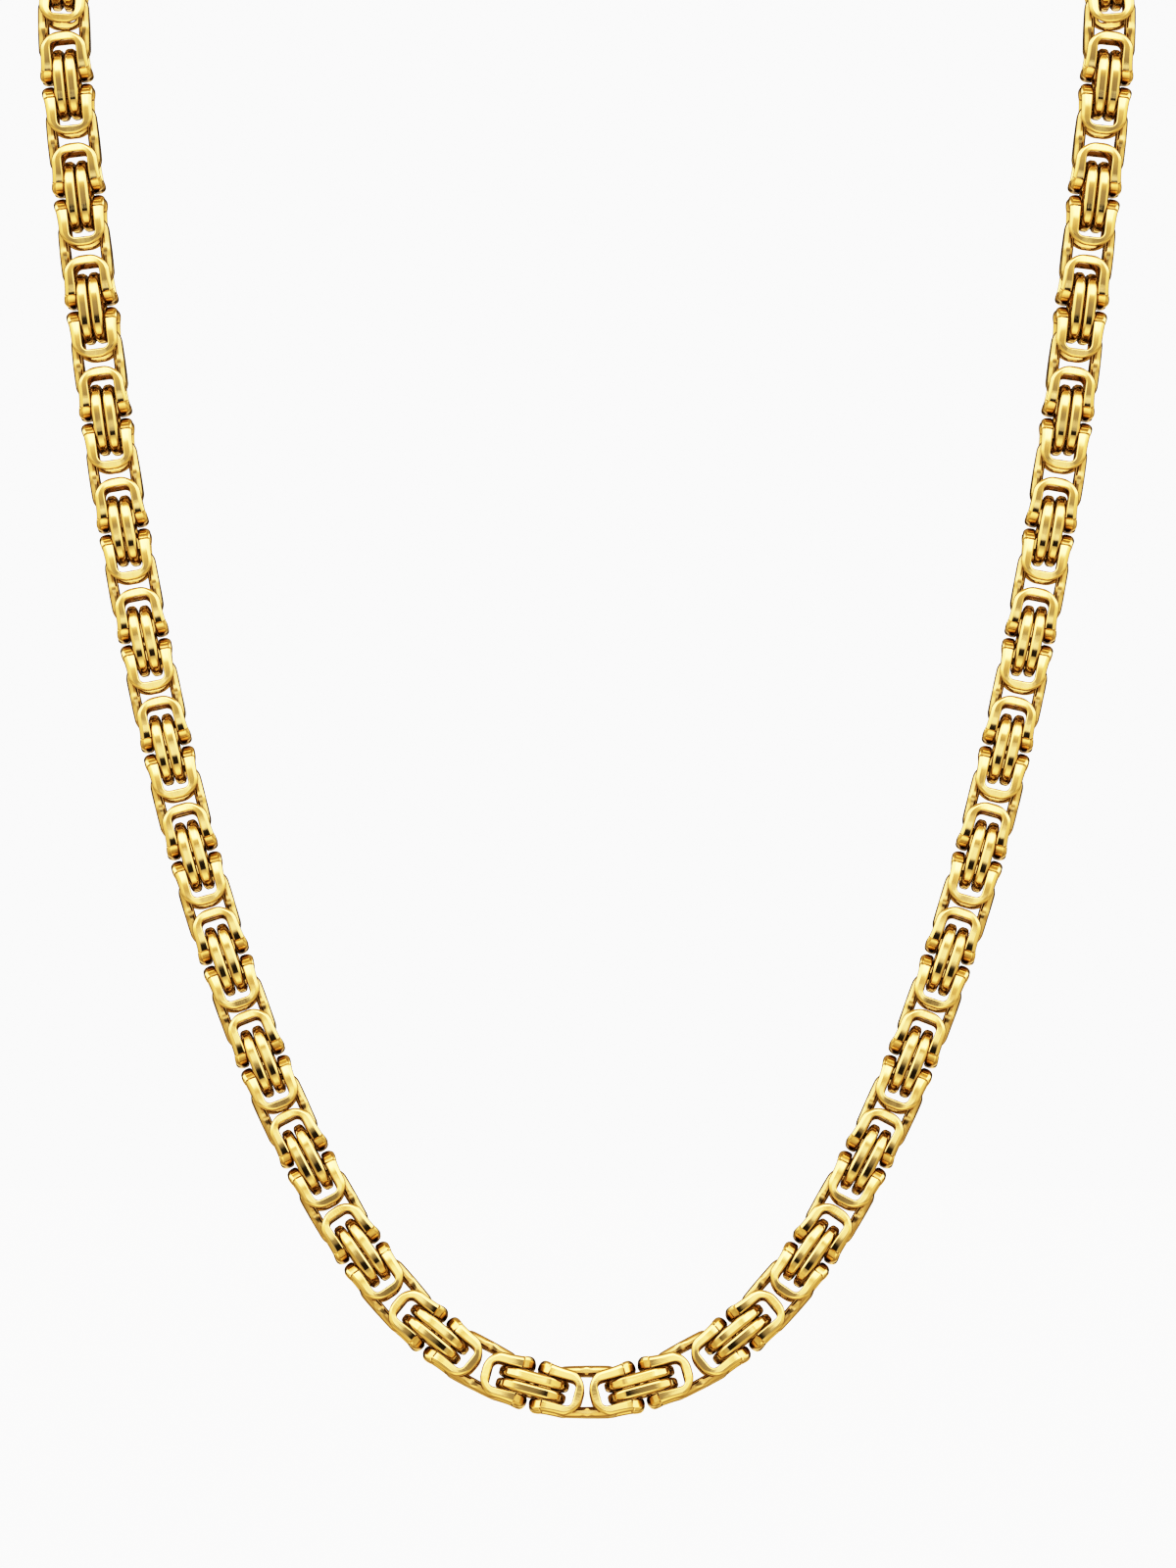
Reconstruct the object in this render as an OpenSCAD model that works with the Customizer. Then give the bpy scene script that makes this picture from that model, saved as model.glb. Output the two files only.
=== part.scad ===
// Byzantine chain necklace, worn: a whole loop that hangs from the nape.
// The origin is the middle of the clasp at the nape. X runs to the wearer's left, -Y is the front, Z is up.
// Along the chain, linked pairs of flat ovals take turns: a bar pair stands edge on to the front,
// and a turned pair lies face on. Two saddle rings are folded round the waist of each bar pair.

/* [Chain] */
// Width of the chain, and its depth
chain_w = 6; // [5.8:0.1:7]
// Distance between the middles of linked pairs where the chain hangs taut
link_pitch = 6.58; // [6.4:0.01:7]
// Number of bar pairs on each side of the bottom
units_per_side = 20; // [16:1:22]
// Least gap between neighbouring links
clear = 0.1; // [0.08:0.01:0.14]

/* [Oval links] */
// Thickness of one oval, which shows as the width of one bar
oval_t = 1.25; // [1.1:0.05:1.35]
// Gap between the two ovals of a pair
pair_gap = 0.25; // [0.15:0.05:0.35]
// Width of an oval's band along its long sides
oval_side_w = 1.25; // [1:0.05:1.3]
// Width of an oval's band at its ends
oval_end_w = 0.65; // [0.55:0.05:0.8]
// Outer corner radius of an oval
oval_corner_r = 2.2; // [1.6:0.1:2.6]

/* [Saddle rings] */
// Width of a saddle ring's band at its crown
crown_w = 1.07; // [0.9:0.01:1.2]
// Thickness of a saddle ring's band
saddle_t = 0.7; // [0.5:0.05:0.8]
// Width of a saddle ring at the shoulders of its crown
crown_span = 4.75; // [4.6:0.05:5]
// Width of a saddle ring where its legs end
leg_span = 5.4; // [5.2:0.05:5.6]
// Height of the bend at the tips of a saddle ring
tip_h = 1.92; // [1.7:0.01:2.2]
// Gap between two crowns that face each other where the chain hangs taut
crown_gap = 1.1; // [1:0.05:1.3]

/* [Ends and clasp] */
// Diameter of the wire of an end ring
ring_wire = 1; // [0.8:0.1:1.2]
// Length of the clasp between the end rings that it joins
clasp_span = 16; // [12:0.5:20]
// Width of the clasp's wall round its holes
clasp_wall = 1.1; // [1:0.1:1.3]
// Thickness of the clasp
clasp_t = 2.2; // [1.8:0.1:2.4]
// Diameter of the clasp's eye
eye_d = 2.4; // [2.2:0.1:3]

/* [Hidden] */
$fn = 32;

// How far the front of the chain leans back from upright, in degrees
LEAN = 5.3;
// The right half of the route, from the bottom middle to the nape: across, forward and down from the nape
ROUTE = [
    [0, 36.9, 206.1], [6.7, 36.8, 205.2], [13.9, 36.5, 202], [20.9, 36, 196.2], [28.3, 35.1, 186.2],
    [37.3, 33.4, 168], [46.4, 30.8, 140], [54.2, 27.3, 102.3], [59.2, 23.6, 63], [60.6, 22, 45.5],
    [58.8, 19.7, 33.7], [53, 15.4, 22.8], [43.5, 10.1, 13.3], [30.8, 5, 6.1], [16, 1.3, 1.6],
    [0, 0, 0]
];
// How close linked pairs lie along the chain: number of the link, share of link_pitch
EASE = [[0, 0.972], [3, 0.97], [7, 0.945], [13, 0.96], [18, 0.99], [26, 1], [28, 0.972]];
// The sharpest turn from one pair to the next, in degrees
TURN_MAX = 20;
// Rings drawn on each span of the route
SPAN_STEPS = 8;

half_w = chain_w / 2;
pair_w = 2 * oval_t + pair_gap;
ease_low = lookup(0, EASE);
// Room between linked bands, so that they clear each other in the sharpest turn
joint_play = clear + pair_w / 2 * sin(TURN_MAX);
oval_in_l = link_pitch * ease_low + joint_play;
oval_l = oval_in_l + 2 * oval_end_w;
oval_in_w = chain_w - 2 * oval_side_w;
oval_in_r = (oval_in_w - pair_w) / 2 + 0.15 * oval_t;
saddle_in_w = pair_w + 2 * clear;
saddle_reach = link_pitch - crown_gap / 2;
saddle_foot = 1.4 * clear;
crown_r = crown_span / 2 - 0.35 * crown_w;
crown_in_r = saddle_in_w / 2 - 0.8 * crown_w;
tip_w = half_w - saddle_in_w / 2;
tip_r = 0.36 * tip_w;
bend_r = tip_h - saddle_foot;
last_link = 2 * units_per_side;
// Half the distance that an end ring bridges, and its inner radius round the last pair
ring_half = pair_w / 2;
ring_in_r = norm([pair_w / 2, ring_half - joint_play / 2]) + 2 * clear;

// A smooth curve through b and c, on its way from a to d
function curve_point(a, b, c, d, t) =
    b + (c - a) * t / 2 + (2 * a - 5 * b + 4 * c - d) * t * t / 2 + (3 * (b - c) + d - a) * t * t * t / 2;
function across(p) = [-p[0], p[1], p[2]];
function route_point(i) =
    i < 0 ? across(ROUTE[-i]) : i < len(ROUTE) ? ROUTE[i] : across(ROUTE[2 * len(ROUTE) - 2 - i]);
spans = len(ROUTE) - 1;
raw_path = [
    for (i = [0 : spans - 1], k = [0 : SPAN_STEPS - 1])
        curve_point(route_point(i - 1), route_point(i), route_point(i + 1), route_point(i + 2), k / SPAN_STEPS),
    route_point(spans)
];
function lengths(pts) = [
    for (i = 0, s = 0; i < len(pts); i = i + 1, s = s + (i < len(pts) ? norm(pts[i] - pts[i - 1]) : 0)) s
];
raw_lengths = lengths(raw_path);

// Joints between pairs, as lengths along the chain from the bottom middle
function step_at(j) = link_pitch * lookup(j, EASE);
joints = [for (j = 0, s = step_at(0) / 2; j <= last_link; j = j + 1, s = s + step_at(j)) s];
clasp_joint = joints[last_link] + 2 * ring_half;
half_length = clasp_joint + clasp_span / 2;
// The route is drawn as large as the chain is long
route_scale = half_length / raw_lengths[len(raw_path) - 1];
function axis_table(k, sign) = [for (i = [0 : len(raw_path) - 1]) [raw_lengths[i], sign * raw_path[i][k]]];
table_x = axis_table(0, 1);
table_y = axis_table(1, -1);
table_z = axis_table(2, -1);
function on_route(s) =
    let (r = s / route_scale) route_scale * [lookup(r, table_x), lookup(r, table_y), lookup(r, table_z)];
nape = let (p = on_route(clasp_joint)) [0, p[1], p[2]];

function unit(v) = v / norm(v);
front = [0, -cos(LEAN), sin(LEAN)];
// Place of a piece between two joints: its z runs along the chain, and its y faces the front
module between(a, b) {
    along = unit(b - a);
    out = unit(front - (front * along) * along);
    side = cross(out, along);
    mid = (a + b) / 2 - nape;
    multmatrix([
        [side[0], out[0], along[0], mid[0]],
        [side[1], out[1], along[1], mid[1]],
        [side[2], out[2], along[2], mid[2]]
    ]) children();
}

module rounded_box(w, h, r) {
    square([w - 2 * r, h], center = true);
    square([w, h - 2 * r], center = true);
    for (x = [-1, 1], y = [-1, 1]) translate([x * (w / 2 - r), y * (h / 2 - r)]) circle(r);
}

// One flat oval in the x-z plane, with y through its thickness
module oval() {
    rotate([90, 0, 0]) linear_extrude(oval_t, center = true) difference() {
        rounded_box(chain_w, oval_l, oval_corner_r);
        rounded_box(oval_in_w, oval_in_l, oval_in_r);
    }
}

module turned_pair() {
    for (y = [-1, 1]) translate([0, y * (oval_t + pair_gap) / 2, 0]) oval();
}

module bar_pair() {
    rotate([0, 0, 90]) turned_pair();
}

// The arch of a saddle ring from the front: a rounded crown, legs that spread a little, and wider tips
module arch() {
    shoulder = saddle_reach - crown_r;
    difference() {
        union() {
            for (x = [-1, 1]) translate([x * (crown_span / 2 - crown_r), shoulder]) circle(crown_r);
            polygon([
                [-crown_span / 2 + crown_r, saddle_reach], [crown_span / 2 - crown_r, saddle_reach],
                [crown_span / 2, shoulder], [leg_span / 2, tip_h], [half_w, tip_h - tip_r],
                [half_w, saddle_foot + tip_r], [half_w - tip_r, saddle_foot],
                [tip_r - half_w, saddle_foot], [-half_w, saddle_foot + tip_r],
                [-half_w, tip_h - tip_r], [-leg_span / 2, tip_h], [-crown_span / 2, shoulder]
            ]);
            for (x = [-1, 1]) translate([x * (half_w - tip_r), saddle_foot + tip_r]) circle(tip_r);
        }
        in_top = saddle_reach - crown_w;
        translate([-saddle_in_w / 2, 0]) square([saddle_in_w, in_top - crown_in_r]);
        translate([crown_in_r - saddle_in_w / 2, 0]) square([saddle_in_w - 2 * crown_in_r, in_top]);
        for (x = [-1, 1])
            translate([x * (saddle_in_w / 2 - crown_in_r), in_top - crown_in_r]) circle(crown_in_r);
    }
}

// The fold of a saddle ring from the side: front and back plates, joined by a rounded floor
module fold() {
    in_r = bend_r - saddle_t;
    in_w = chain_w - 2 * saddle_t;
    difference() {
        union() {
            translate([-half_w, tip_h]) square([chain_w, saddle_reach]);
            translate([bend_r - half_w, saddle_foot]) square([chain_w - 2 * bend_r, tip_h]);
            for (y = [-1, 1]) translate([y * (half_w - bend_r), tip_h]) circle(bend_r);
        }
        translate([-in_w / 2, tip_h]) square([in_w, 2 * saddle_reach]);
        translate([in_r - in_w / 2, saddle_foot + saddle_t]) square([in_w - 2 * in_r, tip_h]);
        for (y = [-1, 1]) translate([y * (in_w / 2 - in_r), tip_h]) circle(in_r);
    }
}

module saddle_ring() {
    intersection() {
        rotate([90, 0, 0]) linear_extrude(chain_w + 1, center = true) arch();
        rotate([90, 0, 90]) linear_extrude(chain_w + 1, center = true) fold();
    }
}

module unit_at(j) {
    between(on_route(joints[j - 1]), on_route(joints[j])) {
        if (j % 2 == 0) turned_pair();
        if (j % 2 == 1) {
            bar_pair();
            saddle_ring();
            mirror([0, 0, 1]) saddle_ring();
        }
    }
}

module half_chain() {
    for (j = [1 : last_link]) unit_at(j);
}

module bottom_pair() {
    low = on_route(joints[0]);
    between(across(low), low) turned_pair();
}

module end_ring() {
    between(on_route(joints[last_link]), on_route(clasp_joint))
        rotate([0, 90, 0]) rotate_extrude() translate([ring_in_r + ring_wire / 2, 0]) circle(ring_wire / 2);
}

module clasp_outline() {
    hole_end = clasp_span / 2 + 1.5 * clear;
    eye_y = hole_end - eye_d / 2;
    difference() {
        union() {
            translate([0, eye_y]) circle(eye_d / 2 + clasp_wall);
            translate([0, -eye_y]) circle(eye_d / 2 + clasp_wall);
            square([eye_d + 2 * clasp_wall, 2 * eye_y], center = true);
        }
        translate([0, eye_y]) circle(eye_d / 2);
        translate([0, -eye_y]) circle(eye_d / 2);
        translate([-eye_d / 2, -eye_y]) square([eye_d, eye_y]);
    }
}

module chain_left() {
    color("gold") {
        half_chain();
        bottom_pair();
    }
}

module chain_right() {
    color("gold") mirror([1, 0, 0]) half_chain();
}

module end_ring_left() {
    color("goldenrod") end_ring();
}

module end_ring_right() {
    color("goldenrod") mirror([1, 0, 0]) end_ring();
}

module clasp() {
    hook = on_route(clasp_joint);
    color("goldenrod") between(hook, across(hook))
        rotate([90, 0, 0]) linear_extrude(clasp_t, center = true) clasp_outline();
}

chain_left();
chain_right();
end_ring_left();
end_ring_right();
clasp();
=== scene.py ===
"""Byzantine chain necklace: finely bevelled links in polished gold on the frame of the CAD model."""
import math

import bpy
import numpy as np
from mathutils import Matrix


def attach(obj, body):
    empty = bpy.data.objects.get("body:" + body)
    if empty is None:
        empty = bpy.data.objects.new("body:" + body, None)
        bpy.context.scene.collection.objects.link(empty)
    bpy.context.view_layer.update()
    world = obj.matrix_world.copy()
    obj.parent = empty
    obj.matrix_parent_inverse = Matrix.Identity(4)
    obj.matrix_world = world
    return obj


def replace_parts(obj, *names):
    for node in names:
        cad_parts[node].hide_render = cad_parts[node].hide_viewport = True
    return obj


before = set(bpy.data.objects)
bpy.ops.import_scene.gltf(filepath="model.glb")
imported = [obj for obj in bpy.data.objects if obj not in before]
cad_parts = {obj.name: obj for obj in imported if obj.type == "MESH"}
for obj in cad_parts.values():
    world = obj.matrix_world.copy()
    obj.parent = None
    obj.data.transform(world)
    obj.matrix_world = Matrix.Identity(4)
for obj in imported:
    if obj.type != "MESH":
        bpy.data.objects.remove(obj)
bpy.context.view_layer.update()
scene = bpy.context.scene
MM = 0.001

# The camera, in metres: level, and so far away that the picture is nearly flat
FRAME_HEIGHT = 0.1811
CAMERA_DISTANCE = 2.4
CAMERA_REACH = 20
CAMERA_AIM = (0.00014, -0.0300, -0.13565)
SENSOR_HEIGHT = 36.0
camera_data = bpy.data.cameras.new("camera")
camera_data.sensor_fit = "VERTICAL"
camera_data.sensor_height = SENSOR_HEIGHT
camera_data.lens = SENSOR_HEIGHT * CAMERA_DISTANCE / FRAME_HEIGHT
camera_data.clip_end = CAMERA_REACH
camera = bpy.data.objects.new("camera", camera_data)
camera.location = (CAMERA_AIM[0], CAMERA_AIM[1] - CAMERA_DISTANCE, CAMERA_AIM[2])
camera.rotation_euler = (math.radians(90), 0, 0)
scene.collection.objects.link(camera)
scene.camera = camera

# Sizes in millimetres and the chain's route, as in the CAD
CHAIN_W = 6.0
LINK_PITCH = 6.58
CLEAR = 0.1
OVAL_T = 1.25
PAIR_GAP = 0.25
OVAL_SIDE_W = 1.25
OVAL_END_W = 0.65
OVAL_CORNER_R = 2.2
CROWN_W = 1.07
SADDLE_T = 0.7
CROWN_SPAN = 4.75
CROWN_GAP = 1.1
CLASP_SPAN = 16.0
LEAN = math.radians(5.3)
TURN_MAX = math.radians(20)
LAST_LINK = 40
SPAN_STEPS = 8
# The steps from joint to joint, as shares of the pitch, by the number of the link
EASE = [[0, 0.972], [3, 0.97], [7, 0.945], [13, 0.96], [18, 0.99], [26, 1], [28, 0.972]]
# Points from the bottom centre to the nape: to the side, to the front and down
ROUTE = [
    [0, 36.9, 206.1], [6.7, 36.8, 205.2], [13.9, 36.5, 202], [20.9, 36, 196.2], [28.3, 35.1, 186.2],
    [37.3, 33.4, 168], [46.4, 30.8, 140], [54.2, 27.3, 102.3], [59.2, 23.6, 63], [60.6, 22, 45.5],
    [58.8, 19.7, 33.7], [53, 15.4, 22.8], [43.5, 10.1, 13.3], [30.8, 5, 6.1], [16, 1.3, 1.6],
    [0, 0, 0],
]
HALF_W = CHAIN_W / 2
PAIR_W = 2 * OVAL_T + PAIR_GAP
PAIR_STEP = (OVAL_T + PAIR_GAP) / 2
JOINT_PLAY = CLEAR + PAIR_W / 2 * math.sin(TURN_MAX)
OVAL_IN_L = LINK_PITCH * EASE[0][1] + JOINT_PLAY
OVAL_L = OVAL_IN_L + 2 * OVAL_END_W
OVAL_IN_W = CHAIN_W - 2 * OVAL_SIDE_W
OVAL_IN_R = (OVAL_IN_W - PAIR_W) / 2 + 0.15 * OVAL_T
SADDLE_IN_W = PAIR_W + 2 * CLEAR
SADDLE_REACH = LINK_PITCH - CROWN_GAP / 2
SADDLE_FOOT = 1.4 * CLEAR
CROWN_R = CROWN_SPAN / 2 - 0.35 * CROWN_W
CROWN_IN_R = SADDLE_IN_W / 2 - 0.8 * CROWN_W
RING_HALF = PAIR_W / 2


def curve_point(a, b, c, d, t):
    """A point at share t from b to c, on a smooth curve through a, b, c and d."""
    return (b + (c - a) * t / 2 + (2 * a - 5 * b + 4 * c - d) * t ** 2 / 2
            + (3 * (b - c) + d - a) * t ** 3 / 2)


def route_point(i):
    """Point i of the route, which mirrors itself past both ends."""
    points = np.array(ROUTE, float)
    last = len(points) - 1
    if i < 0:
        return points[-i] * (-1, 1, 1)
    return points[i] if i <= last else points[2 * last - i] * (-1, 1, 1)


def route_table():
    """Points close together on the route, and the length of the route up to each."""
    spans = len(ROUTE) - 1
    points = [
        curve_point(*[route_point(i + k) for k in (-1, 0, 1, 2)], step / SPAN_STEPS)
        for i in range(spans) for step in range(SPAN_STEPS)
    ] + [route_point(spans)]
    points = np.array(points) * (1, -1, -1)
    steps = np.linalg.norm(np.diff(points, axis=0), axis=1)
    return points, np.concatenate([[0], np.cumsum(steps)])


def at_link(table, j):
    """The value at link j of a table of link numbers and values."""
    return np.interp(j, *zip(*table))


route_points, route_lengths = route_table()
joints = [LINK_PITCH * at_link(EASE, 0) / 2]
for j in range(1, LAST_LINK + 1):
    joints.append(joints[-1] + LINK_PITCH * at_link(EASE, j))
clasp_joint = joints[-1] + 2 * RING_HALF
route_scale = (clasp_joint + CLASP_SPAN / 2) / route_lengths[-1]


def on_route(s):
    """The point at length s along the chain, from the bottom centre."""
    r = s / route_scale
    return route_scale * np.array([np.interp(r, route_lengths, route_points[:, k]) for k in range(3)])


nape = on_route(clasp_joint) * (0, 1, 1)


def unit(v):
    return v / np.linalg.norm(v)


def place_between(a, b, twist, nod):
    """A 4 by 4 matrix: z runs along the chain from a to b, and y faces the front, turned outwards by twist.
    A link that nods faces further down the chain."""
    front = np.array([0, -math.cos(LEAN), math.sin(LEAN)])
    along = unit(b - a)
    out = unit(front - front.dot(along) * along)
    across = np.cross(out, along)
    c, s = math.cos(math.radians(twist)), math.sin(math.radians(twist))
    across, out = across * c + out * s, out * c - across * s
    c, s = math.cos(math.radians(nod)), math.sin(math.radians(nod))
    out, along = out * c - along * s, along * c + out * s
    m = np.eye(4)
    m[:3, 0], m[:3, 1], m[:3, 2] = across, out, along
    m[:3, 3] = (a + b) / 2 - nape
    return m


# The links' cross sections, in millimetres. Flats and round edges meet at slight angles, as on polished metal.
EDGE_TURN = math.radians(9)
EDGE_STEPS = 4
CORNER_STEPS = 9
INNER_CORNER_POINTS = 6


def edge_arc(ru, rv):
    """Points from (0, -rv) to (-ru, 0) round a corner at the origin, meeting both flats at a slight angle."""
    big = 1 / (math.cos(EDGE_TURN) - math.sin(EDGE_TURN))
    pts = []
    for k in range(EDGE_STEPS + 1):
        t = EDGE_TURN + (math.pi / 2 - 2 * EDGE_TURN) * k / EDGE_STEPS
        pts.append((ru * big * (math.cos(t) - math.cos(EDGE_TURN)),
                    rv * (big * (math.sin(t) - math.sin(EDGE_TURN)) - 1)))
    return pts


def section(w, t, outer, inner):
    """Closed section: u from the inner edge 0 to the outer edge w, v through the thickness t.
    outer and inner are the (u, v) radii of the edges. Also returns where its creases are."""
    ring, creases = [], []
    for (ru, rv), su, sv in ((outer, 1, 1), (inner, -1, 1), (inner, -1, -1), (outer, 1, -1)):
        arc = edge_arc(ru, rv)
        if su * sv < 0:
            arc = arc[::-1]
        creases += [len(ring), len(ring) + len(arc) - 1]
        for u, v in arc:
            ring.append((w / 2 + su * (w / 2 + u), sv * (t / 2 + v)))
    return ring, creases


def sweep(stations):
    """Joins sections at stations, in a closed loop. A station is (outer point, inner point, thickness direction,
    thickness, outer radii, inner radii, crease). Returns vertices, faces and the pairs of vertices of sharp edges."""
    verts, faces, sharp = [], [], []
    for p_out, p_in, n, t, outer, inner, _ in stations:
        p_out, p_in, n = np.array(p_out, float), np.array(p_in, float), unit(np.array(n, float))
        w = np.linalg.norm(p_out - p_in)
        across = (p_out - p_in) / w
        ring, marks = section(w, t, outer, inner)
        verts += [p_in + across * u + n * v for u, v in ring]
    count = len(ring)
    for i, station in enumerate(stations):
        here, there = i * count, (i + 1) % len(stations) * count
        for k in range(count):
            k2 = (k + 1) % count
            faces.append((here + k, here + k2, there + k2, there + k))
            if station[6]:
                sharp.append((here + k, here + k2))
        sharp += [(here + k, there + k) for k in marks]
    return np.array(verts), np.array(faces), np.array(sharp)


def along_path(path, share):
    """The point at a share of a path's length."""
    path = np.array(path, float)
    steps = np.concatenate([[0], np.cumsum(np.linalg.norm(np.diff(path, axis=0), axis=1))])
    return np.array([np.interp(share * steps[-1], steps, path[:, k]) for k in range(path.shape[1])])


def quarter_arc(start, end, kink, steps):
    """A quarter of an ellipse from a long side at start to a short side at end, with a slight angle at both."""
    big = 1 / (math.cos(kink) - math.sin(kink))
    pts = []
    for k in range(steps + 1):
        t = kink + (math.pi / 2 - 2 * kink) * k / steps
        u = 1 + big * (math.cos(t) - math.cos(kink))
        v = big * (math.sin(t) - math.sin(kink))
        pts.append((end[0] + (start[0] - end[0]) * u, start[1] + (end[1] - start[1]) * v))
    return pts


def inner_corner(path_start, x, z, r, path_end):
    """A path that turns round the corner (x, z) with radius r."""
    turn = [(x - r + r * math.cos(t), z - r + r * math.sin(t))
            for t in np.linspace(0, math.pi / 2, INNER_CORNER_POINTS)]
    return [path_start] + turn + [path_end]


# Ovals: stations on the long sides lie at shares of their straight part, and edges are (outer, inner) radii
OVAL_KINK = math.radians(8)
OVAL_TAPER = 0.2
BAR_THICK = OVAL_T + 0.1
BAR_BULGE = 0.096
BAR_EDGES = ((0.36, 0.36), (0.25, 0.26))
BAR_SHARES = (0, 0.3, 0.55, 0.78, 0.91)
FLAT_THICK = OVAL_T + 0.05
FLAT_CORNER_R = 1.6
FLAT_BULGE = 0.04
FLAT_EDGES = ((0.56, 0.52), (0.42, 0.46))
FLAT_SHARES = (0, 0.05, 0.1, 0.15, 0.2, 0.25, 0.31, 0.38, 0.6, 0.85)
WORN_RADII = (0.4, 0.38)
WORN_HALF = 0.95
WORN_RISE = 0.1


def oval_template(corner_r, bulge, full_thick, edges, shares, worn):
    """A flat oval in the x-z plane. Its long sides bulge a little, so that each facet mirrors more than one tone.
    Where they are worn at their middle, they swell, and their edges have the worn radii, outer and inner."""
    cx, cz = HALF_W - corner_r, OVAL_L / 2 - corner_r
    hole_x, hole_z = OVAL_IN_W / 2, OVAL_IN_L / 2
    straight_z = hole_z - OVAL_IN_R
    outer = quarter_arc((HALF_W - bulge, cz), (cx, OVAL_L / 2), OVAL_KINK, CORNER_STEPS)
    inner = inner_corner((hole_x, min(cz, straight_z)), hole_x, hole_z, OVAL_IN_R, (cx, hole_z))
    quarter = [((HALF_W - bulge * share ** 3, share * cz), (hole_x, min(share * cz, straight_z)), False)
               for share in shares]
    quarter += [(p, along_path(inner, k / CORNER_STEPS), k in (0, CORNER_STEPS)) for k, p in enumerate(outer)]
    loop = []
    for sx, sz, order in ((1, 1, 1), (-1, 1, -1), (-1, -1, 1), (1, -1, -1)):
        for p, q, crease in quarter[::order]:
            wear = math.cos(math.pi / 2 * min(1, p[1] / WORN_HALF)) ** 2 if worn else 0
            thick = full_thick - OVAL_TAPER * (p[1] / (OVAL_L / 2)) ** 4 + WORN_RISE * wear
            out_edge, in_edge = [(a + (r - a) * wear, b + (r - b) * wear)
                                 for (a, b), r in zip(edges, worn or (0, 0))]
            loop.append(((sx * p[0], 0, sz * p[1]), (sx * q[0], 0, sz * q[1]), (0, 1, 0), thick,
                         out_edge, in_edge, crease))
    return sweep(loop)


# Saddles: heights over the middle of the link, and how far the band lies out or back
FOLD_STEPS = 9
FOLD_KINK = math.radians(8)
CREASE_Z = 1.66
PLATE_TOP_Z = 4.3
CROWN_SINK = 0.08
LEG_SINK = 0.147
LEG_SHARES = (0.35, 0.65, 0.85, 0.93, 1)
LEG_OUT = 2.83
LEG_FLARE = 2.2
SHOULDER_BEVEL = 0.3
SHOULDER_OUT = CROWN_SPAN / 2 + SHOULDER_BEVEL
TIP_WIDEST = 0.45
TIP_DOME = 9
FLOOR_RECESS = 0.14
PLATE_EDGE = 0.3
PLATE_INNER_EDGE = (0.18, 0.2)
TIP_EDGE = 0.42
TIP_EDGE_GROWTH = 0.06
TIP_INNER_GROWTH = 0.1


def plate_sink(z):
    """How far the plate's face lies behind the front plane at height z, and its slope there."""
    if z < PLATE_TOP_Z:
        span = PLATE_TOP_Z - CREASE_Z
        share = (PLATE_TOP_Z - z) / span
        return LEG_SINK * share ** 3, -3 * LEG_SINK * share ** 2 / span
    span = SADDLE_REACH - PLATE_TOP_Z
    share = (z - PLATE_TOP_Z) / span
    return CROWN_SINK * share ** 3, 3 * CROWN_SINK * share ** 2 / span


def plate_station(p, q, outer_edge, crease):
    """A station on the front plate from the outer point p to the inner point q, both as x and z."""
    slope = plate_sink((p[1] + q[1]) / 2)[1]
    y = HALF_W - SADDLE_T / 2
    return ((p[0], y - plate_sink(p[1])[0], p[1]), (q[0], y - plate_sink(q[1])[0], q[1]), (0, 1, slope), SADDLE_T,
            outer_edge, PLATE_INNER_EDGE, crease)


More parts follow.
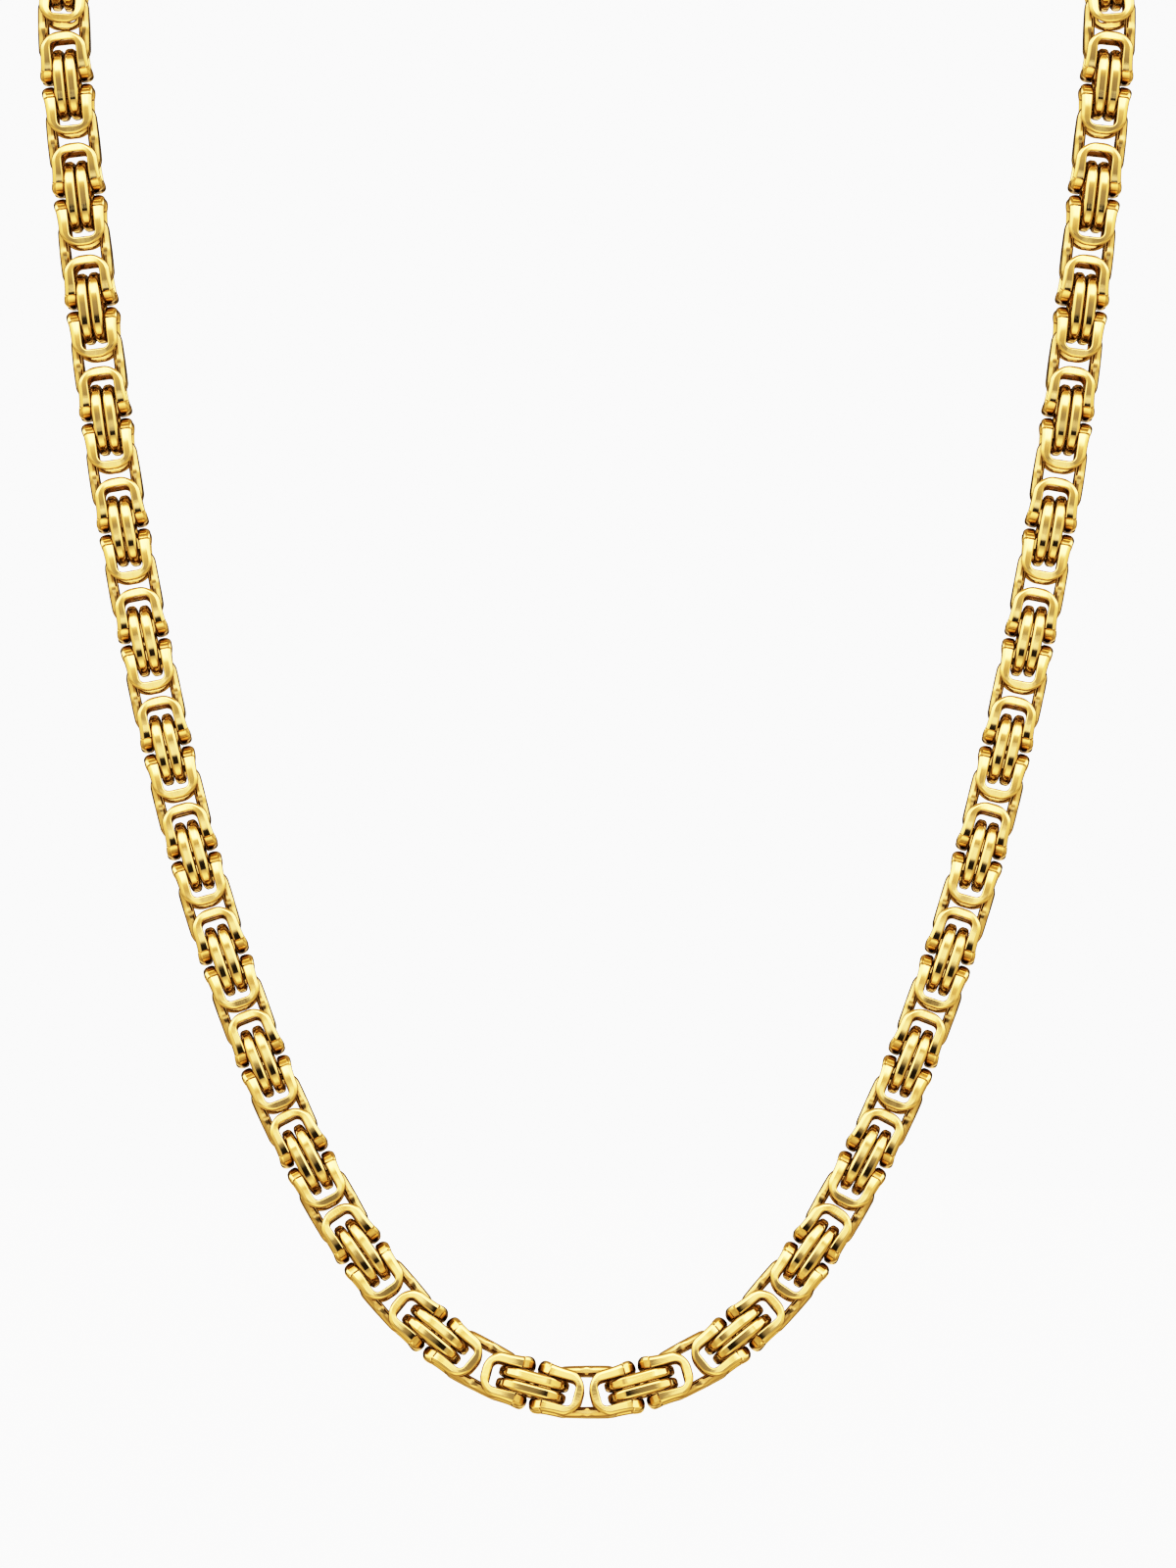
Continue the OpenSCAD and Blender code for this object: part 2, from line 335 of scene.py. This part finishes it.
def saddle_template():
    """A ring folded round the chain: plates in front and behind, and floors between them beside the bars."""
    shoulder = SADDLE_REACH - CROWN_R
    flat = CROWN_SPAN / 2 - CROWN_R
    ix = SADDLE_IN_W / 2
    band_z = SADDLE_REACH - CROWN_W
    inner = [(x, z) for z, x in inner_corner((band_z, flat), band_z, ix, CROWN_IN_R, (shoulder, ix))]
    quarter = []
    for k in range(CORNER_STEPS + 1):
        t = math.pi / 2 * k / CORNER_STEPS
        wide = SHOULDER_BEVEL * math.sin(t) ** 2
        p = (flat + (CROWN_R + wide) * math.sin(t), shoulder + CROWN_R * math.cos(t))
        q = along_path(inner, k / CORNER_STEPS)
        quarter.append(plate_station(p, q, (PLATE_EDGE + wide / 2, PLATE_EDGE), False))
    for share in LEG_SHARES:
        z = shoulder + (CREASE_Z - shoulder) * share
        x = SHOULDER_OUT + (LEG_OUT - SHOULDER_OUT) * share ** LEG_FLARE
        quarter.append(plate_station((x, z), (ix, z), (PLATE_EDGE + SHOULDER_BEVEL / 2, PLATE_EDGE), share == 1))
    # The fold: an arc that leaves the plate at a slight angle and ends on the floor
    sink, slope = plate_sink(CREASE_Z)
    start = math.atan(-slope) + FOLD_KINK
    bend = (CREASE_Z - SADDLE_FOOT) / (1 - math.sin(start))
    cy = HALF_W - sink - bend * math.cos(start)
    cz = CREASE_Z + bend * math.sin(start)
    mid_r = bend - SADDLE_T / 2
    for k in range(FOLD_STEPS + 1):
        share = k / FOLD_STEPS
        t = start + (math.pi / 2 - start) * k / FOLD_STEPS
        y, z = cy + mid_r * math.cos(t), cz - mid_r * math.sin(t)
        dome = math.sin(min(1, share / TIP_WIDEST) * math.pi / 2) - TIP_DOME * max(0, share - TIP_WIDEST) ** 2
        x = LEG_OUT + (HALF_W - LEG_OUT) * dome
        soft = math.sin(share * math.pi / 2)
        quarter.append(((x, y, z), (ix + FLOOR_RECESS * share ** 3, y, z), (0, math.cos(t), -math.sin(t)), SADDLE_T,
                        (TIP_EDGE + TIP_EDGE_GROWTH * soft, PLATE_EDGE),
                        (PLATE_INNER_EDGE[0] + TIP_INNER_GROWTH * soft, PLATE_INNER_EDGE[1]), False))
    loop = []
    for sx, sy, order in ((1, 1, 1), (1, -1, -1), (-1, -1, 1), (-1, 1, -1)):
        for p, q, n, t, outer_edge, inner_edge, crease in quarter[::order]:
            loop.append(((sx * p[0], sy * p[1], p[2]), (sx * q[0], sy * q[1], q[2]),
                         (0, sy * n[1], n[2]), t, outer_edge, inner_edge, crease))
    return sweep(loop)


SAME_DIGITS = 5


def merged(template):
    """Drops the double stations that the mirrored quarters share, and keeps the link's own coordinates too."""
    verts, faces, sharp = template
    _, first, back = np.unique(np.round(verts, SAME_DIGITS), axis=0, return_index=True, return_inverse=True)
    back = back.reshape(-1)
    verts, faces, sharp = verts[first], back[faces], back[sharp]
    whole = np.array([len(set(f)) == 4 for f in faces.tolist()])
    sharp = sharp[sharp[:, 0] != sharp[:, 1]]
    return verts, faces[whole], sharp, verts


def shifted(template, offset):
    verts, faces, sharp, local = template
    return verts + np.array(offset), faces, sharp, local


def transformed(template, matrix, flip=False):
    """A template moved by a matrix. One that mirrors has to flip the faces."""
    verts, faces, sharp, local = template
    verts = verts @ matrix[:3, :3].T + matrix[:3, 3]
    return verts, (faces[:, ::-1] if flip else faces), sharp, local


# Each link takes its marks from another place in the noise, up to this many millimetres away
MARKS_SEED = 7
MARKS_SPREAD = 37


def build(name, parts, material):
    """One mesh object from placed templates, with the place on the link in the attribute 'local'."""
    verts = np.vstack([p[0] for p in parts]) * MM
    starts = np.cumsum([0] + [len(p[0]) for p in parts])
    faces = np.vstack([p[1] + s for p, s in zip(parts, starts)])
    sharp = np.vstack([p[2] + s for p, s in zip(parts, starts)])
    mesh = bpy.data.meshes.new(name)
    mesh.vertices.add(len(verts))
    mesh.vertices.foreach_set("co", verts.astype(np.float32).ravel())
    mesh.loops.add(faces.size)
    mesh.loops.foreach_set("vertex_index", faces.astype(np.int32).ravel())
    mesh.polygons.add(len(faces))
    mesh.polygons.foreach_set("loop_start", np.arange(0, faces.size, 4, dtype=np.int32))
    mesh.update(calc_edges=True)
    mesh.validate()
    edges = np.empty(len(mesh.edges) * 2, np.int32)
    mesh.edges.foreach_get("vertices", edges)
    edges = np.sort(edges.reshape(-1, 2), axis=1).astype(np.int64)
    sharp = np.sort(sharp, axis=1).astype(np.int64)
    marks = np.isin(edges[:, 0] * len(verts) + edges[:, 1], sharp[:, 0] * len(verts) + sharp[:, 1])
    mesh.attributes.new("sharp_edge", "BOOLEAN", "EDGE").data.foreach_set("value", marks)
    draws = np.repeat(np.random.default_rng(MARKS_SEED).random(len(parts)), [len(p[0]) for p in parts])
    local = np.vstack([p[3] for p in parts]) + draws[:, None] * MARKS_SPREAD
    mesh.attributes.new("local", "FLOAT_VECTOR", "POINT").data.foreach_set("vector", local.astype(np.float32).ravel())
    mesh.polygons.foreach_set("use_smooth", np.ones(len(faces), bool))
    obj = bpy.data.objects.new(name, mesh)
    scene.collection.objects.link(obj)
    obj.data.materials.append(material)
    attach(obj, "root")
    return obj


def add_node(tree, kind, settings=None, **values):
    """A new shader node. Its sockets take values, or links from other sockets."""
    node = tree.nodes.new("ShaderNode" + kind)
    for name, value in (settings or {}).items():
        setattr(node, name, value)
    for name, value in values.items():
        socket = node.inputs[name.replace("_", " ")]
        if isinstance(value, bpy.types.NodeSocket):
            tree.links.new(value, socket)
        else:
            socket.default_value = value
    return node


def set_ramp(node, stops):
    """Gives a colour ramp its stops: places from 0 to 1, and colours or grey levels."""
    ramp = node.color_ramp
    while len(ramp.elements) < len(stops):
        ramp.elements.new(0.5)
    for element, (at, level) in zip(ramp.elements, stops):
        element.position = at
        element.color = (*level, 1) if isinstance(level, tuple) else (level, level, level, 1)


# Gold in light and dark streaks along each link. Painted shade: the colour darkens to brown in the nooks between
# links, by how open a place is. Distances are in metres.
TINTS = ((0.72, 0.50, 0.17, 1), (0.96, 0.71, 0.31, 1))
# Painted shade: darker tints for the flat ovals, which lie deeper
SHADED_TINTS = ((0.56, 0.37, 0.12, 1), (0.9, 0.66, 0.29, 1))
PAINTED_NOOK_SHADE = [(0.1, (0.045, 0.02, 0.004)), (0.3, (0.22, 0.13, 0.035)), (0.56, (0.44, 0.32, 0.14)), (0.87, (1, 1, 1))]
NOOK_SHADE_REACH = 0.0028
BAR_NOOK_SHADE_REACH = 0.0016
DEEP_NOOK_SHADE_REACH = 0.0036
POLISHED = (0.045, 0.10)
BRUSHED = (0.16, 0.30)
STREAK_SCALE = (4.5, 4.5, 0.3)
BRUSH_SCALE = (250, 4500, 4500)
STREAK_DEPTH = 0.00002
RIPPLE_DEPTH = 0.0001

gold = bpy.data.materials.new("polished_gold")
gold.use_nodes = True
tree = gold.node_tree
shader = tree.nodes["Principled BSDF"]
shader.inputs["Metallic"].default_value = 1.0
coords = add_node(tree, "TexCoord")
local_coords = add_node(tree, "Attribute", {"attribute_name": "local"})
stretch = add_node(tree, "Mapping", Vector=local_coords.outputs["Vector"], Scale=STREAK_SCALE)
streak = add_node(tree, "TexNoise", Vector=stretch.outputs["Vector"], Scale=1.0, Detail=3)
tint = add_node(tree, "Mix", {"data_type": "RGBA"}, Factor=streak.outputs["Fac"], A=TINTS[0], B=TINTS[1])
# Painted shade: ambient occlusion darkens the gold to brown between the links
nook_shade = add_node(tree, "AmbientOcclusion", {"samples": 8}, Distance=NOOK_SHADE_REACH)
shade = add_node(tree, "ValToRGB", Fac=nook_shade.outputs["AO"])
set_ramp(shade, PAINTED_NOOK_SHADE)
darkened = add_node(tree, "Mix", {"data_type": "RGBA", "blend_type": "MULTIPLY"}, Factor=1.0,
                    A=tint.outputs["Result"], B=shade.outputs["Color"])
tree.links.new(darkened.outputs["Result"], shader.inputs["Base Color"])
cloud = add_node(tree, "TexNoise", Vector=coords.outputs["Object"], Scale=900, Detail=3)
rough = add_node(tree, "MapRange", Value=cloud.outputs["Fac"], To_Min=POLISHED[0], To_Max=POLISHED[1])
tree.links.new(rough.outputs["Result"], shader.inputs["Roughness"])
fine = add_node(tree, "Bump", Strength=0.15, Distance=STREAK_DEPTH, Height=streak.outputs["Fac"])
ripple = add_node(tree, "TexNoise", Vector=coords.outputs["Object"], Scale=450, Detail=2)
bump = add_node(tree, "Bump", Strength=0.12, Distance=RIPPLE_DEPTH, Height=ripple.outputs["Fac"],
                Normal=fine.outputs["Normal"])
tree.links.new(bump.outputs["Normal"], shader.inputs["Normal"])

# The bars stand free, and only their gap gets the painted nook shade
bar_gold = gold.copy()
bar_gold.name = "bar_gold"
bar_gold.node_tree.nodes[nook_shade.name].inputs["Distance"].default_value = BAR_NOOK_SHADE_REACH

# The flat ovals lie deeper: a copy of the gold with painted shade, in darker tints and a wider reach of the painted
# nook shade
deep_gold = gold.copy()
deep_gold.name = "deep_gold"
shaded_nodes = deep_gold.node_tree.nodes
shaded_nodes[tint.name].inputs["A"].default_value = SHADED_TINTS[0]
shaded_nodes[tint.name].inputs["B"].default_value = SHADED_TINTS[1]
shaded_nodes[nook_shade.name].inputs["Distance"].default_value = DEEP_NOOK_SHADE_REACH

# The clasp is brushed along its length
satin = gold.copy()
satin.name = "brushed_gold"
brushed = satin.node_tree.nodes
brushed[rough.name].inputs["To Min"].default_value = BRUSHED[0]
brushed[rough.name].inputs["To Max"].default_value = BRUSHED[1]
brushed[stretch.name].inputs["Scale"].default_value = BRUSH_SCALE
brushed[fine.name].inputs["Strength"].default_value = 0.5
satin.node_tree.links.new(brushed[coords.name].outputs["Object"], brushed[stretch.name].inputs["Vector"])

# How loosely the links lie, by the number of the link: the chain is turned outwards (TWIST), its bars more so, and
# links nod and splay, all in degrees. The bars' faces are skewed, and the bars slip along each other in millimetres.
TWIST = [[0, 0], [17, 0], [20, 1.2], [23, 3.8], [25, 3.2], [27, 2.4], [31, 0]]
BAR_TWIST = [[3, 0], [5, -0.5], [7, 3.0]]
BAR_NOD = 2.0
FLAT_NOD = 0.4
FLAT_SPLAY = [[0, 0.8], [12, 0.6]]
BAR_SKEW = [[0, 2.8], [3, 2.3], [7, 0.9], [11, 0]]
BAR_SLIP = [[0, 0.02], [13, 0.02], [16, 0.1], [21, 0.1], [23, 0.0], [40, 0.03]]
BAR_STEP = 0.97 * PAIR_STEP
TURN_QUARTER = np.array([[0, -1, 0, 0], [1, 0, 0, 0], [0, 0, 1, 0], [0, 0, 0, 1]], float)
UPSIDE = np.diag([1.0, 1, -1, 1])
ACROSS = np.diag([-1.0, 1, 1, 1])

bar = merged(oval_template(OVAL_CORNER_R, BAR_BULGE, BAR_THICK, BAR_EDGES, BAR_SHARES, None))
oval = merged(oval_template(FLAT_CORNER_R, FLAT_BULGE, FLAT_THICK, FLAT_EDGES, FLAT_SHARES, WORN_RADII))
saddle = merged(saddle_template())


def skew(degrees):
    """Turns the faces across x by an angle about z, and leaves the sides where they are."""
    m = np.eye(4)
    m[0, 1] = -math.tan(math.radians(degrees))
    return m


def turn_y(degrees):
    c, s = math.cos(math.radians(degrees)), math.sin(math.radians(degrees))
    return np.array([[c, 0, s, 0], [0, 1, 0, 0], [-s, 0, c, 0], [0, 0, 0, 1]])


def link_parts(j):
    """Bars, flat ovals and saddle rings of link j on the right-hand side of the picture."""
    twist = at_link(TWIST, j)
    low = on_route(joints[j - 1]) if j else on_route(joints[0]) * (-1, 1, 1)
    high = on_route(joints[j])
    if j % 2 == 0:
        m = place_between(low, high, twist, FLAT_NOD)
        splay = at_link(FLAT_SPLAY, j)
        return [], [transformed(shifted(transformed(oval, turn_y(s * splay)), (0, s * PAIR_STEP, 0)), m)
                    for s in (-1, 1)], []
    m = place_between(low, high, twist, 0)
    loose = place_between(low, high, twist + at_link(BAR_TWIST, j), BAR_NOD)
    slip = at_link(BAR_SLIP, j)
    lean = at_link(BAR_SKEW, j)
    bars = [transformed(transformed(shifted(transformed(bar, skew(s * lean)), (0, s * BAR_STEP, s * slip)),
                                    TURN_QUARTER), loose) for s in (-1, 1)]
    return bars, [], [transformed(saddle, m), transformed(transformed(saddle, UPSIDE, True), m)]


# Link 0 is the middle one and belongs to the left node
for side, mirror in (("left", False), ("right", True)):
    kinds = [[], [], []]
    for j in range(1 if mirror else 0, LAST_LINK + 1):
        for kind, placed in zip(kinds, link_parts(j)):
            kind += [transformed(p, ACROSS, True) for p in placed] if mirror else placed
    for name, parts, material in zip(("bars_", "flat_ovals_", "saddles_"), kinds, (bar_gold, deep_gold, gold)):
        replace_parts(build(name + side, parts, material), "chain_" + side)

RIM = 0.28 * MM
RIM_ANGLE = math.radians(40)
for name in ("end_ring_left", "end_ring_right", "clasp"):
    node = bpy.data.objects[name]
    node.data.materials.clear()
    node.data.materials.append(satin if name == "clasp" else gold)
rim = bpy.data.objects["clasp"].modifiers.new("rim", "BEVEL")
rim.width = RIM
rim.segments = 3
rim.limit_method = "ANGLE"
rim.angle_limit = RIM_ANGLE
rim.harden_normals = True

# A white floor that the metal doesn't mirror, as bright as the plain background
FLOOR_HALF = 6
FLOOR_Z = -0.3
floor_mesh = bpy.data.meshes.new("floor")
floor_mesh.from_pydata([(x * FLOOR_HALF, y * FLOOR_HALF, FLOOR_Z) for x, y in ((-1, -1), (1, -1), (1, 1), (-1, 1))],
                       [], [(0, 1, 2, 3)])
floor = bpy.data.objects.new("floor", floor_mesh)
scene.collection.objects.link(floor)
paper = bpy.data.materials.new("floor")
paper.use_nodes = True
paper_shader = paper.node_tree.nodes["Principled BSDF"]
paper_shader.inputs["Base Color"].default_value = (0.02, 0.02, 0.02, 1)
paper_shader.inputs["Roughness"].default_value = 0.9
paper_shader.inputs["Emission Color"].default_value = (1, 1, 1, 1)
paper_shader.inputs["Emission Strength"].default_value = 1.47
floor_mesh.materials.append(paper)
floor.visible_glossy = False

# The studio that the metal mirrors: its brightness by height, in degrees, for four sectors. Each has its own share
# by the angle from the front, also in degrees.
BROWN = (0.46, 0.31, 0.12)
GOLDEN = (0.76, 0.62, 0.38)
FRONT = [(-90, (0.6, 0.42, 0.18)), (-66, (1.15, 0.9, 0.52)), (-46, (1.8, 1.6, 1.15)), (-28, (1.3, 1.12, 0.76)),
         (-18, (0.6, 0.52, 0.38)), (-11.5, 0.36), (-10, (0.02, 0.015, 0.01)), (0, (0.02, 0.015, 0.01)),
         (2.5, (0.36, 0.33, 0.26)), (8, (0.47, 0.42, 0.33)), (12, GOLDEN), (15, (1.1, 0.94, 0.66)),
         (19, 2.7), (62, 3.1), (72, (1.7, 1.4, 0.85)), (80, (0.9, 0.62, 0.26)), (90, BROWN)]
SIDES = [(-90, (0.3, 0.2, 0.08)), (-60, (0.6, 0.45, 0.22)), (-40, (1.0, 0.8, 0.45)), (-22, (0.6, 0.46, 0.24)),
         (-10, (1.0, 0.85, 0.55)), (6, (1.4, 1.25, 0.85)), (25, 2.3), (50, 2.1), (62, (0.9, 0.62, 0.26)),
         (76, BROWN), (90, (0.1, 0.055, 0.015))]
EDGES = [(-90, (0.3, 0.2, 0.08)), (-55, (0.55, 0.42, 0.2)), (-30, (0.4, 0.3, 0.14)), (-12, (0.1, 0.06, 0.02)),
         (0, (0.04, 0.024, 0.008)), (34, (0.08, 0.045, 0.012)), (52, (0.6, 0.45, 0.22)), (72, (0.5, 0.35, 0.15)),
         (90, BROWN)]
BACK = [(-90, (0.3, 0.2, 0.08)), (-60, (0.6, 0.45, 0.22)), (-40, (1.5, 1.25, 0.85)), (-20, (1.2, 1.0, 0.7)),
        (-9, (0.3, 0.2, 0.09)), (-3, (0.12, 0.075, 0.03)), (30, (0.16, 0.1, 0.04)), (48, (0.5, 0.36, 0.17)),
        (66, (0.55, 0.4, 0.2)), (80, (0.4, 0.27, 0.1)), (90, BROWN)]
SECTORS = [(FRONT, [(0, 1), (16, 1), (30, 0)]),
           (SIDES, [(0, 0), (16, 0), (30, 1), (100, 1), (114, 0)]),
           (EDGES, [(0, 0), (100, 0), (114, 1), (140, 1), (155, 0)]),
           (BACK, [(0, 0), (140, 0), (155, 1), (180, 1)])]
BACKGROUND = (1.5, 1.5, 1.5, 1)

world = bpy.data.worlds.new("studio")
world.use_nodes = True
scene.world = world
sky_tree = world.node_tree


def sky_math(operation, *terms):
    """The output of a math node with these terms, which are values or sockets."""
    node = add_node(sky_tree, "Math", {"operation": operation})
    for socket, term in zip(node.inputs, terms):
        if isinstance(term, bpy.types.NodeSocket):
            sky_tree.links.new(term, socket)
        else:
            socket.default_value = term
    return node.outputs[0]


def sky_ramp(value, stops, low, high):
    """The colour at a value from 0 to 1 of stops that are given by degrees from low to high."""
    node = add_node(sky_tree, "ValToRGB", Fac=value)
    set_ramp(node, [((at - low) / (high - low), level) for at, level in stops])
    return node.outputs["Color"]


direction = add_node(sky_tree, "TexCoord")
split = add_node(sky_tree, "SeparateXYZ", Vector=direction.outputs["Generated"])
height = sky_math("ADD", sky_math("DIVIDE", sky_math("ARCSINE", split.outputs["Z"]), math.pi), 0.5)
facing = sky_math("ARCTAN2", split.outputs["X"], sky_math("MULTIPLY", split.outputs["Y"], -1.0))
facing = sky_math("DIVIDE", sky_math("ABSOLUTE", facing), math.pi)
layers = []
for levels, shares in SECTORS:
    layer = add_node(sky_tree, "VectorMath", {"operation": "SCALE"}, Scale=sky_ramp(facing, shares, 0, 180))
    sky_tree.links.new(sky_ramp(height, levels, -90, 90), layer.inputs[0])
    layers.append(layer.outputs[0])
total = layers[0]
for layer in layers[1:]:
    both = add_node(sky_tree, "VectorMath")
    sky_tree.links.new(total, both.inputs[0])
    sky_tree.links.new(layer, both.inputs[1])
    total = both.outputs[0]
sky = sky_tree.nodes["Background"]
sky.inputs["Strength"].default_value = 1.0
sky_tree.links.new(total, sky.inputs["Color"])
plain = add_node(sky_tree, "Background", Color=BACKGROUND)
seen = add_node(sky_tree, "LightPath")
choose = add_node(sky_tree, "MixShader", Fac=seen.outputs["Is Camera Ray"])
sky_tree.links.new(sky.outputs[0], choose.inputs[1])
sky_tree.links.new(plain.outputs[0], choose.inputs[2])
sky_tree.links.new(choose.outputs[0], sky_tree.nodes["World Output"].inputs["Surface"])

# Low in front, two soft boxes one in the other: name, place, size and brightness
SOFTBOXES = [("low_box", (0, -0.7, -0.084), (0.30, 0.06), 1.1),
             ("low_box_soft", (0, -0.7, -0.078), (0.40, 0.10), 0.5)]
for name, place, size, glow in SOFTBOXES:
    light = bpy.data.lights.new(name, "AREA")
    light.shape = "RECTANGLE"
    light.size, light.size_y = size
    light.energy = glow * math.pi * size[0] * size[1]
    box = bpy.data.objects.new(name, light)
    box.location = place
    box.rotation_euler = (math.radians(90), 0, 0)
    scene.collection.objects.link(box)

# A soft shoulder, so that bright gold turns cream and then white, as in a photograph: light levels and shown ones
WHITE_LEVEL = 3.0
SHOULDER = [(0, 0), (0.04, 0.028), (0.15, 0.14), (0.5, 0.52), (1.0, 0.84), (1.5, 0.955), (WHITE_LEVEL, 1.0)]
view = scene.view_settings
view.view_transform = "Standard"
view.use_curve_mapping = True
film = view.curve_mapping
film.white_level = (WHITE_LEVEL,) * 3
film.clip_max_x = film.clip_max_y = 1.0
curve = film.curves[3]
while len(curve.points) < len(SHOULDER):
    curve.points.new(0.5, 0.5)
for point, (level, shown) in zip(curve.points, SHOULDER):
    point.location = (level / WHITE_LEVEL, shown)
film.update()
